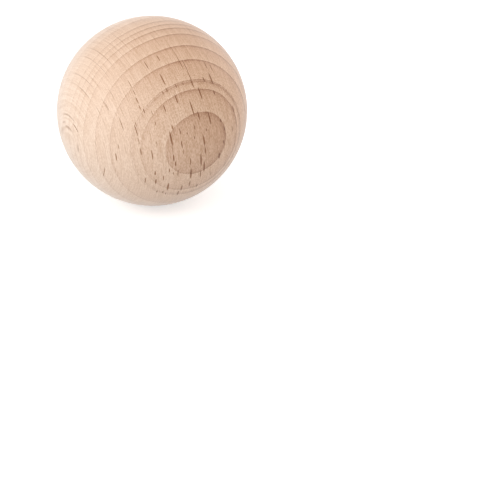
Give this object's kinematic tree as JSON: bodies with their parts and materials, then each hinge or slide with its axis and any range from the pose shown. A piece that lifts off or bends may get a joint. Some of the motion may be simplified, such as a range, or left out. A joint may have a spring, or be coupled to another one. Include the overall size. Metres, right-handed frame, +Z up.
{
  "type": "wooden ball",
  "caption": "Plain round ball of bare beech, turned in one piece and sanded smooth, with no hole, stem or flat.",
  "frame": {"origin": "centre of the ball", "axes": "+Z is up as the ball lies; the grain and the turning axis lean 6.7 degrees from +Z towards -X; the flat-sawn face with the ring figure looks towards -Y and +X"},
  "size_m": [0.05, 0.05, 0.05],
  "materials": {
    "beech": "bare beech, sanded fine, with no oil or varnish"
  },
  "bodies": {
    "root": {"ball": "beech"}
  },
  "joints": []
}
